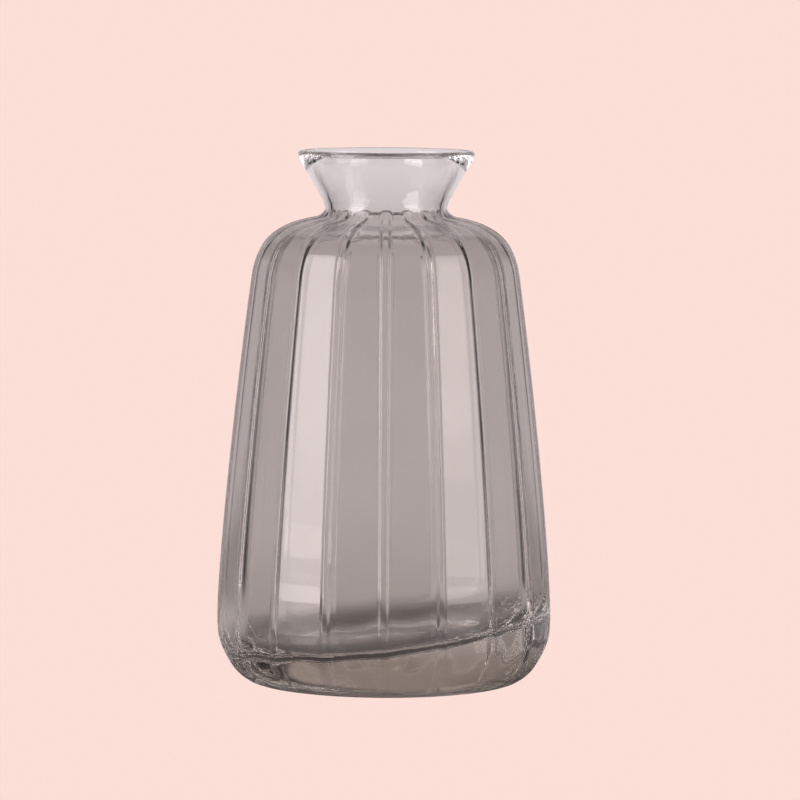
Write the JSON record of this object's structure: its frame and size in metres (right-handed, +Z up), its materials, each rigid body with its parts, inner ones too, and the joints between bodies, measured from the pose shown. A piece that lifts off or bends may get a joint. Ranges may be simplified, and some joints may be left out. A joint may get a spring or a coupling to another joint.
{
  "type": "glass bud vase",
  "caption": "Ribbed bud vase in smoked glass: body widening to a rounded heel, round shoulder, short waist, funnel neck with a rounded lip, thick sloping base.",
  "frame": {"origin": "centre of the foot ring, on the surface that the vase stands on", "axes": "+Z up through the mouth, -Y towards the rib that faces the viewer, +X towards the thick side of the sloping base"},
  "size_m": [0.0912, 0.0926, 0.1459],
  "materials": {
    "smoked_glass": "clear glass with a thin warm-grey smoke tint on the outside that fades out up the neck, fire-polished"
  },
  "bodies": {
    "root": {"glass_vase": "smoked_glass"}
  },
  "joints": []
}
